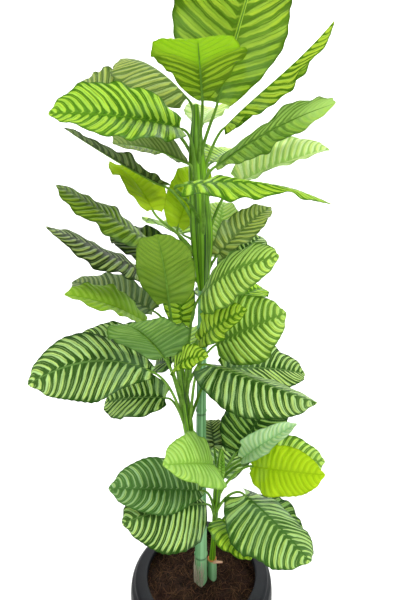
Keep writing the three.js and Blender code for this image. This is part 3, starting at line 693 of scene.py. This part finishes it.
class Graph:
    """Short names for the shader nodes of one material."""

    def __init__(self, name):
        self.material = bpy.data.materials.new(name)
        self.material.use_nodes = True
        self.tree = self.material.node_tree
        self.tree.nodes.clear()

    def node(self, kind, inputs=None, **settings):
        node = self.tree.nodes.new("ShaderNode" + kind)
        for key, value in settings.items():
            setattr(node, key, value)
        for key, value in (inputs or {}).items():
            if isinstance(value, bpy.types.NodeSocket):
                self.tree.links.new(value, node.inputs[key])
            else:
                node.inputs[key].default_value = value
        return node

    def math(self, operation, *values, clamp=False):
        return self.node("Math", dict(enumerate(values)), operation=operation, use_clamp=clamp).outputs[0]

    def smooth(self, value, low, high, start=0.0, end=1.0):
        inputs = {"Value": value, "From Min": low, "From Max": high, "To Min": start, "To Max": end}
        return self.node("MapRange", inputs, interpolation_type="SMOOTHSTEP").outputs[0]

    def mix(self, factor, a, b):
        return self.node("Mix", {0: factor, 6: a, 7: b}, data_type="RGBA").outputs[2]

    def tint(self, colour, value, low, high, strength, over):
        """Lays an sRGB colour over another as value goes from low to high."""
        return self.mix(self.smooth(value, low, high, 0.0, strength), colour, srgb(*over))

    def value(self, name):
        return self.node("Attribute", attribute_name=name).outputs["Fac"]

    def combine(self, x, y, z):
        return self.node("CombineXYZ", {0: x, 1: y, 2: z}).outputs[0]

    def noise(self, vector, scale, detail=3.0):
        return self.node("TexNoise", {"Vector": vector, "Scale": scale, "Detail": detail}).outputs["Fac"]

    def hash(self, value):
        return self.node("TexWhiteNoise", {"W": value}, noise_dimensions="1D").outputs["Value"]

    def place(self):
        return self.node("TexCoord").outputs["Object"]

    def bump(self, height, strength, distance):
        inputs = {"Height": height, "Strength": strength, "Distance": distance}
        return self.node("Bump", inputs).outputs[0]

    def surface(self, colour, rough, shine, normal):
        inputs = {"Base Color": colour, "Roughness": rough, "Specular IOR Level": shine, "Normal": normal}
        return self.node("BsdfPrincipled", inputs).outputs[0]

    def finish(self, shader):
        output = self.node("OutputMaterial")
        self.tree.links.new(shader, output.inputs["Surface"])
        return self.material


def leaf_marks(g):
    """What a leaf's points carry, with noise over it and the place across each stripe."""
    marks = SimpleNamespace(**{name: g.value(name) for name in LEAF_MARKS})
    marks.place = g.place()
    marks.broad = g.noise(marks.place, BROAD_SCALE, 2.0)
    wobble = g.math("SUBTRACT", g.noise(marks.place, WOBBLE_SCALE), 0.5)
    marks.rank = g.math("MULTIPLY_ADD", wobble, STRIPE_WOBBLE, marks.rank)

    # Three random draws for each stripe of each half of each leaf
    label = g.math("MULTIPLY_ADD", marks.seed, SEED_LABEL, g.math("FLOOR", marks.rank))
    label = g.math("ADD", label, g.math("MULTIPLY", marks.side, SIDE_LABEL))
    marks.draws = [g.hash(g.math("ADD", label, shift)) for shift in DRAW_SHIFTS]
    marks.across = g.math("SUBTRACT", g.math("FRACT", marks.rank), 0.5)
    shift = g.math("MULTIPLY_ADD", marks.draws[0], STRIPE_SHIFT, -STRIPE_SHIFT / 2)
    marks.off = g.math("SUBTRACT", marks.across, shift)

    # Fine streaks that run with the stripes
    run = g.combine(g.math("MULTIPLY", marks.rank, STREAKS_ACROSS),
                    g.math("MULTIPLY", marks.out, STREAKS_ALONG),
                    g.math("MULTIPLY_ADD", marks.side, STREAK_SIDE_STEP, marks.seed))
    marks.streak = g.noise(run, 1.0, 4.0)
    return marks


def stripe_band(g, marks, width):
    """How much of the pale colour shows, from 0 to 1."""
    one, two, three = marks.draws
    out = marks.out

    # A stripe starts as a point beside the midrib, widens, and ends before the margin
    start = g.math("MULTIPLY", three, START_SPREAD)
    swell = g.smooth(out, start, SWELL_END)
    taper = g.smooth(out, *TAPER_SPAN, 1.0, TAPER_TO)
    widest = g.math("MULTIPLY_ADD", two, WIDTH_SPREAD, width - NARROWER_BY)
    half = g.math("MULTIPLY", g.math("MULTIPLY", swell, taper), widest)
    half = g.math("MULTIPLY_ADD", g.math("GREATER_THAN", out, start), ROOT_WIDTH, half)
    band = g.smooth(g.math("SUBTRACT", g.math("ABSOLUTE", marks.off), half), *SOFT_EDGE)
    ragged = g.math("SUBTRACT", g.noise(marks.place, RAGGED_SCALE), 0.5)
    reach = g.math("MULTIPLY_ADD", ragged, END_NOISE, g.math("MULTIPLY_ADD", one, -END_SPREAD, out))
    band = g.math("MULTIPLY", band, g.smooth(reach, *END_SPAN))

    # Some stripes are split by a fine dark line, and some dark bands carry a fine pale one
    middle = g.math("MULTIPLY_ADD", three, SPLIT_SPREAD, -SPLIT_SPREAD / 2)
    split = g.math("ABSOLUTE", g.math("SUBTRACT", marks.off, middle))
    split = g.math("MULTIPLY", g.smooth(split, *SPLIT_EDGE), g.smooth(out, *SPLIT_SPAN))
    depth = g.math("MULTIPLY", two, -SPLIT_DEPTH)
    band = g.math("MULTIPLY", band, g.math("MULTIPLY_ADD", split, depth, 1.0))
    edge = g.math("SUBTRACT", 0.5, g.math("ABSOLUTE", marks.across))
    thread = g.math("MULTIPLY", g.smooth(edge, *THREAD_EDGE), g.smooth(out, *THREAD_START))
    thread_end = g.math("MULTIPLY", g.smooth(out, *THREAD_END), THREAD_STRENGTH)
    band = g.math("MAXIMUM", band, g.math("MULTIPLY", thread, thread_end))
    return g.math("MULTIPLY", band, g.smooth(marks.streak, 0.25, 0.55, 0.6, 1.0))


def leaf_colour(g, marks, kind):
    """The colour of a blade and its stalk. Shades are mixed from the two colours of the kind."""
    dark, pale, contrast, width, rib, _ = KINDS[kind]
    mean, deep = blend(dark, pale, 0.4), shade(dark, 0.72)
    warm = [min(255, 1.04 * pale[0] + 10), pale[1], 0.6 * pale[2]]
    foot = g.smooth(marks.along, *FOOT_SPAN) if kind in STRIPED_FOOT else 0.0

    # The dark ground: what each layer follows, from where to where, how strong, and its colour
    ground = g.mix(contrast, srgb(*mean), srgb(*dark))
    layers = (
        (marks.streak, 0.4, 0.7, 0.45 * contrast, mean),
        (marks.off, 0.25, 0.5, 0.7 * contrast, deep),
        (marks.broad, 0.5, 0.7, 0.3, mean),
        (marks.along, 0.6, 1.0, 0.3, mean),
        (marks.along, 0.5, 0.9, PALE_TIP.get(kind, 0.0), pale),
    )
    for layer in layers:
        ground = g.tint(ground, *layer)
    ground = g.mix(foot, ground, srgb(*STRIPED_FOOT.get(kind, dark)))

    # The pale stripes over it, fainter on the under side
    light = g.mix(g.smooth(marks.off, -WARM_EDGE, WARM_EDGE, 0.45, 1.0), srgb(*warm), srgb(*pale))
    light = g.tint(light, marks.broad, 0.35, 0.65, 0.35, shade(pale, 0.85))
    upper = g.math("MULTIPLY_ADD", marks.under, -UNDER_FADE, 1.0)
    shown = g.math("MULTIPLY", upper, g.math("MAXIMUM", foot, contrast))
    band = g.math("MULTIPLY", stripe_band(g, marks, width), shown)
    colour = g.mix(band, ground, light)

    # Painted sheen near the base, a duller under side, a dark margin and the midrib
    sheen_patch = g.math("MULTIPLY", g.smooth(marks.broad, 0.5, 0.62), g.smooth(marks.along, 0.55, 0.1))
    colour = g.mix(g.math("MULTIPLY", sheen_patch, PAINTED_SHEEN_COVER * contrast), colour, srgb(*PAINTED_SHEEN))
    frost = blend(mean, FROST, 0.15)
    colour = g.mix(g.math("MULTIPLY", marks.under, FROST_COVER), colour, srgb(*frost))
    colour = g.tint(colour, marks.out, *MARGIN_SPAN, 0.5, deep)
    colour = g.tint(colour, marks.out, *MIDRIB_SPAN, 1.0, blend(dark, pale, rib))
    stalk = g.mix(g.smooth(marks.streak, 0.3, 0.7), srgb(*STALK_DARK), srgb(*STALK_PALE))
    return g.mix(marks.stalk, colour, stalk)


def leaf_material(kind):
    g = Graph(f"leaf_{kind}")
    marks = leaf_marks(g)
    colour = leaf_colour(g, marks, kind)
    veinlets = g.math("SINE", g.math("MULTIPLY", marks.rank, 2 * math.pi * VEINLETS))
    height = g.math("MULTIPLY_ADD", veinlets, VEINLET_HEIGHT, marks.streak)
    height = g.math("MULTIPLY", g.math("SUBTRACT", 1.0, marks.stalk), height)
    normal = g.bump(height, 0.4, 0.0006)
    rough = g.smooth(marks.streak, 0.2, 0.8, *BLADE_ROUGHNESS)
    face = g.surface(colour, rough, BLADE_SHINE, normal)
    glow = g.node("BsdfTranslucent", {"Color": colour, "Normal": normal}).outputs[0]
    return g.finish(g.node("MixShader", {0: BLADE_GLOW, 1: face, 2: glow}).outputs[0])


def stem_material(name, dark, pale, rough, streaks):
    """Smooth stem with streaks along it, and painted shade in its creases and grooves, from the marks
    that its points carry.
    """
    g = Graph(name)
    along, around, ring = g.value("along"), g.value("around"), g.value("ring")
    angle = g.math("MULTIPLY", around, 2 * math.pi)
    run = g.combine(g.math("MULTIPLY", g.math("COSINE", angle), streaks),
                    g.math("MULTIPLY", g.math("SINE", angle), streaks),
                    g.math("MULTIPLY", along, 0.16))
    lines = g.noise(run, 1.0, 5.0)
    blotch = g.noise(g.place(), 22.0, 3.0)
    colour = g.mix(g.smooth(lines, 0.36, 0.62), srgb(*dark), srgb(*pale))
    colour = g.tint(colour, blotch, 0.5, 0.75, 0.4, shade(dark, 0.75))
    # Painted shade in the marked creases and grooves
    colour = g.mix(g.math("MULTIPLY", ring, 0.75), colour, srgb(*shade(dark, 0.55)))
    rough = g.smooth(blotch, 0.3, 0.7, rough - 0.06, rough + 0.08)
    return g.finish(g.surface(colour, rough, 0.3, g.bump(lines, 0.25, 0.0005)))


def pot_material():
    g = Graph("pot_satin")
    place = g.place()
    fine, broad = g.noise(place, 900.0, 2.0), g.noise(place, 16.0, 3.0)
    colour = g.mix(g.smooth(broad, 0.35, 0.7), srgb(13, 15, 19), srgb(24, 27, 31))
    colour = g.tint(colour, fine, 0.58, 0.75, 0.3, (52, 54, 58))
    rough = g.smooth(broad, 0.3, 0.7, 0.42, 0.54)
    return g.finish(g.surface(colour, rough, 0.12, g.bump(fine, 0.15, 0.0003)))


def coir_material():
    g = Graph("coir")
    place = g.place()
    crumbs, broad = g.noise(place, 260.0, 5.0), g.noise(place, 12.0, 3.0)
    colour = g.mix(g.smooth(crumbs, 0.35, 0.7), srgb(14, 9, 6), srgb(58, 38, 28))
    colour = g.tint(colour, broad, 0.4, 0.7, 0.6, (40, 20, 14))
    return g.finish(g.surface(colour, 0.9, 0.12, g.bump(crumbs, 0.8, 0.002)))


def fibre_material(name, dark, pale):
    g = Graph(name)
    tone = g.value("tone")
    flecks = g.noise(g.place(), 500.0, 2.0)
    colour = g.mix(g.math("MULTIPLY_ADD", flecks, 0.3, tone, clamp=True), srgb(*dark), srgb(*pale))
    return g.finish(g.surface(colour, 0.8, 0.15, g.bump(flecks, 0.3, 0.0004)))


# Stems, poles and heads


def stem_shape(rows, count, sides, relief):
    """A stem along rows of centre and radius. relief gives what to add to the radius and where to paint
    shade.
    """
    path = smooth_path(rows, count)
    u = np.linspace(0, 1, count)[:, None]
    around = (np.arange(sides) / sides)[None, :]
    extra, ring = relief(path, u, around)
    radii = np.broadcast_to(path[:, 3:4] + extra, (count, sides))
    length = np.cumsum(np.r_[0, np.linalg.norm(np.diff(path[:, :3], axis=0), axis=1)])
    shape = Shape("along", "around", "ring")
    shape.add(tube_rings(path[:, :3], radii, sides), tube_faces(count, sides),
              along=np.repeat(length / TENTH_OF_METRE, sides), around=np.tile(around[0], count),
              ring=np.broadcast_to(ring, (count, sides)))
    return shape


def cane_relief(path, _u, _around):
    """Raised rings with grooves below them. The grooves are marked for painted shade."""
    step = (path[:, 2:3] - RING_FOOT) / RING_SPACING
    nearest = np.round(step)
    off = (step - nearest) * RING_SPACING
    ring = np.exp(-(off / RING_REACH) ** 2) * (nearest > 0)
    groove = np.exp(-((off + GROOVE_BELOW) / GROOVE_REACH) ** 2) * (nearest > 0)
    return RING_RISE * ring - GROOVE_DEPTH * groove, groove


def sheath_relief(path, u, around):
    """Lobes with creases between them, flat at both ends of the head. The creases are marked for painted
    shade.
    """
    turn = SHEATH_STEMS * (around + SHEATH_WIND * u)
    lobe = np.abs(np.cos(math.pi * turn))
    fade = np.sin(math.pi * np.clip(u, 0.02, 0.98)) ** 0.5
    extra = path[:, 3:4] * fade * SHEATH_RELIEF * (lobe**SHEATH_ROUNDNESS - SHEATH_LEVEL)
    return extra, CREASE_SHADE * (1 - smoothstep(0.0, CREASE_WIDTH, lobe))


# Pot and coir


def turned(profile, sides):
    """Rings of points from a profile of radii and heights turned round the upright axis."""
    profile = np.asarray(profile, float)
    radii, heights = profile[:, :1], profile[:, 1:]
    angles = 2 * math.pi * np.arange(sides) / sides
    return np.stack([radii * np.cos(angles), radii * np.sin(angles),
                     np.repeat(heights, sides, axis=1)], axis=-1)


def arc(centre, radius, start, end, count):
    angles = np.linspace(start, end, count)
    return np.array(centre) + radius * np.stack([np.cos(angles), np.sin(angles)], axis=1)


def pot_wall(inset):
    outline = smooth_path(POT_OUTLINE, POT_POINTS)
    slope = unit(np.gradient(outline, axis=0))
    return outline + inset * np.stack([-slope[:, 1], slope[:, 0]], axis=1)


def pot_piece():
    outer, inner = pot_wall(0), pot_wall(POT_WALL)
    brow = arc(BROW_AT, BROW_RADIUS, BROW_START, math.pi / 2, BROW_POINTS)
    lip_at = (POT_MOUTH_RADIUS + LIP_RADIUS, POT_HEIGHT - LIP_RADIUS)
    lip = arc(lip_at, LIP_RADIUS, math.pi / 2, math.pi, LIP_POINTS)
    under = [(POT_MOUTH_RADIUS, POT_HEIGHT - LIP_DEPTH), LIP_BACK, SHOULDER]
    inside = inner[inner[:, 1] < SHOULDER[1] - 4][::-1]
    floor = [(100, POT_WALL), (2, POT_WALL)]
    profile = np.vstack([POT_FOOT, outer[outer[:, 1] < WALL_END], brow, lip, under, inside, floor])
    pot = Shape()
    pot.add(turned(profile, POT_SIDES), tube_faces(len(profile), POT_SIDES))
    pot.piece("fine_pot", "pot", "pot", pot_material(), sharp=60)


def coir_height(x, y):
    """Lumpy top of the coir, from a few waves and a slight heap round the poles."""
    waves = np.sin(x / 15 + 1) * np.cos(y / 15) + 0.6 * np.sin(x / 6.3 + y / 8.1)
    waves = waves + 0.5 * np.sin(y / 5.2 - x / 9.7 + 2)
    heap = np.exp(-np.hypot(x - HEAP_AT[0], y - HEAP_AT[1]) ** 2 / HEAP_SPREAD)
    return FILL_HEIGHT + COIR_BUMP * waves + HEAP * heap


def coir_piece():
    radii = np.linspace(COIR_MIDDLE, FILL_RIM + COIR_OVERLAP, COIR_RINGS)
    top = turned([(radius, 0) for radius in radii], COIR_SIDES)
    grain = rng.uniform(-1, 1, top.shape[:2]) * COIR_GRAIN
    top[..., 2] = coir_height(top[..., 0], top[..., 1]) + grain
    wall = pot_wall(POT_WALL + COIR_GAP)
    skirt = turned(wall[wall[:, 1] < FILL_HEIGHT - COIR_SKIRT], COIR_SIDES)
    fill = Shape()
    fill.add(np.vstack([skirt, top[::-1]]), tube_faces(len(skirt) + COIR_RINGS, COIR_SIDES))
    fill.piece("fine_coir_fill", "coir_fill", "coir", coir_material(), sharp=80)


def add_fibre(shape, path, radius, tone, side=(1, 0, 0)):
    rings = tube_rings(path, np.full(len(path), radius), FIBRE_SIDES, side)
    shape.add(rings, tube_faces(len(path), FIBRE_SIDES), tone=tone)


def fibres_piece():
    """Loose fibres, each a flat curve that follows the coir, with ends that may stand up."""
    fibres = Shape("tone")
    u = np.linspace(-0.5, 0.5, FIBRE_POINTS)
    for _ in range(FIBRES):
        where = rng.uniform(0, 2 * math.pi)
        spread = math.sqrt(rng.uniform(0.01, 1)) * (FILL_RIM - 6)
        heading, bend = rng.uniform(0, 2 * math.pi), rng.uniform(-FIBRE_BEND, FIBRE_BEND)
        length, curl = rng.uniform(*FIBRE_LENGTH), rng.uniform(0, FIBRE_CURL)
        turn = heading + bend * u
        x = spread * math.cos(where) + length * u * np.cos(turn)
        y = spread * math.sin(where) + length * u * np.sin(turn)
        inside = np.minimum(1, (FILL_RIM - 3) / np.maximum(1, np.hypot(x, y)))
        x, y = x * inside, y * inside
        z = coir_height(x, y) + rng.uniform(*FIBRE_LIFT)
        z = z + curl * np.abs(u) ** 2 * rng.uniform(*FIBRE_FLICK)
        path = np.stack([x, y, z], axis=1)
        add_fibre(fibres, path, rng.uniform(*FIBRE_RADIUS), rng.uniform(0, 1) ** 2, side=(0, 0, 1))
    fibres.piece("coir_fibres", None, "coir", fibre_material("coir_fibre", (24, 14, 9), (104, 74, 50)))


# Dressing at the foot of the poles


def tuft_piece():
    tuft = Shape("tone")
    u = np.linspace(0, 1, FIBRE_POINTS)
    for _ in range(HAIRS):
        angle = rng.uniform(*np.radians(HAIR_ARC))
        low, height = rng.uniform(*HAIR_FOOT), rng.uniform(*HAIR_LENGTH)
        radius = HAIR_OFF_AXIS + rng.uniform(0, HAIR_BULGE) * np.sin(math.pi * u)
        turn = angle + rng.uniform(-HAIR_TURN, HAIR_TURN) * u
        x = TALL_POLE[0][0] + radius * np.cos(turn)
        path = np.stack([x, radius * np.sin(turn), low + height * u], axis=1)
        add_fibre(tuft, path, rng.uniform(*HAIR_RADIUS), rng.uniform(*HAIR_TONE))
    tuft.piece("pale_fibre", None, "coir", fibre_material("pale_fibre", (112, 96, 70), (206, 200, 176)))


def cut_end_piece():
    path = np.array(CUT_END)
    cut = Shape("tone")
    cut.add(tube_rings(path[:, :3], path[:, 3], CUT_SIDES), tube_faces(len(path), CUT_SIDES), tone=0.4)
    cut.piece("cut_end", None, "coir", fibre_material("cut_wood", (176, 96, 44), (226, 150, 92)))


def twig_piece():
    path = smooth_path(TWIG, TWIG_POINTS)
    radii = path[:, 3:4] + TWIG_RIPPLE * np.sin(5 * np.arange(TWIG_SIDES))
    twig = Shape("tone")
    twig.add(tube_rings(path[:, :3], radii, TWIG_SIDES), tube_faces(TWIG_POINTS, TWIG_SIDES), tone=0.5)
    twig.piece("twig", None, "coir", fibre_material("twig_bark", (186, 130, 104), (232, 190, 162)))


# Stage, lights and camera


def stage_piece():
    angles = np.linspace(0, math.pi / 2, CURVE_POINTS)
    profile = [(FLOOR_FRONT, 0)]
    profile += [(CURVE_START + CURVE_RADIUS * math.sin(a), CURVE_RADIUS - CURVE_RADIUS * math.cos(a))
                for a in angles]
    profile += [(CURVE_START + CURVE_RADIUS, BACKDROP_HEIGHT)]
    points = [(x, y, z) for y, z in profile for x in (-STAGE_HALF_WIDTH, STAGE_HALF_WIDTH)]
    mesh = bpy.data.meshes.new("floor")
    mesh.from_pydata((np.array(points) * MM).tolist(), [], quads(len(profile), 2))
    mesh.polygons.foreach_set("use_smooth", [True] * len(mesh.polygons))
    g = Graph("floor_paint")
    paint = g.node("BsdfPrincipled", {"Base Color": srgb(250, 250, 249), "Roughness": 0.8})
    mesh.materials.append(g.finish(paint.outputs[0]))
    floor = bpy.data.objects.new("floor", mesh)
    bpy.context.scene.collection.objects.link(floor)


def looking_along(direction):
    """Rotation that turns a light from looking down to looking along a direction."""
    x, y, z = unit(direction)
    return (math.acos(-z), 0, math.atan2(-x, y))


def area_light(name, place, aim, size, power):
    light = bpy.data.lights.new(name, "AREA")
    light.shape = "DISK"
    light.size = size
    light.energy = power
    made = bpy.data.objects.new(name, light)
    made.location = place
    made.rotation_euler = looking_along(np.subtract(aim, place))
    bpy.context.scene.collection.objects.link(made)


def camera():
    data = bpy.data.cameras.new("camera")
    data.lens = LENS
    data.sensor_width = SENSOR
    data.sensor_fit = "AUTO"
    made = bpy.data.objects.new("camera", data)
    made.location = CAMERA_PLACE
    made.rotation_euler = (math.radians(90 - CAMERA_PITCH), 0, 0)
    bpy.context.scene.collection.objects.link(made)
    bpy.context.scene.camera = made


def world():
    sky = bpy.data.worlds.new("studio")
    sky.use_nodes = True
    background = sky.node_tree.nodes["Background"]
    background.inputs["Color"].default_value = (1, 1, 1, 1)
    background.inputs["Strength"].default_value = SKY_STRENGTH
    bpy.context.scene.world = sky


# The object

camera()
world()
stage_piece()
bpy.context.scene.view_settings.view_transform = "Standard"
for light_name, light_row in LIGHTS.items():
    area_light(light_name, *light_row)

of_kind = {kind: leaf_material(kind) for kind in KINDS}
leaf_materials = {leaf: of_kind[kind] for kind, row in KINDS.items() for leaf in row[-1].split()}
for leaf_index, leaf_row in enumerate(LEAVES):
    leaf_piece(leaf_row, leaf_index, leaf_materials)

sheath = stem_material("sheath", (38, 80, 2), (118, 172, 30), rough=0.36, streaks=4.0)
for head_name, head_rows in HEADS.items():
    head = stem_shape(head_rows, HEAD_POINTS, HEAD_SIDES, sheath_relief)
    head.piece(f"fine_{head_name}_head", f"{head_name}_head", "sheath", sheath)

cane = stem_material("cane", (76, 130, 78), (148, 204, 148), rough=0.42, streaks=3.0)
for cane_name, cane_node, *cane_form in CANES:
    stem_shape(*cane_form, cane_relief).piece(cane_name, cane_node, "cane", cane)

pot_piece()
coir_piece()
fibres_piece()
tuft_piece()
cut_end_piece()
twig_piece()
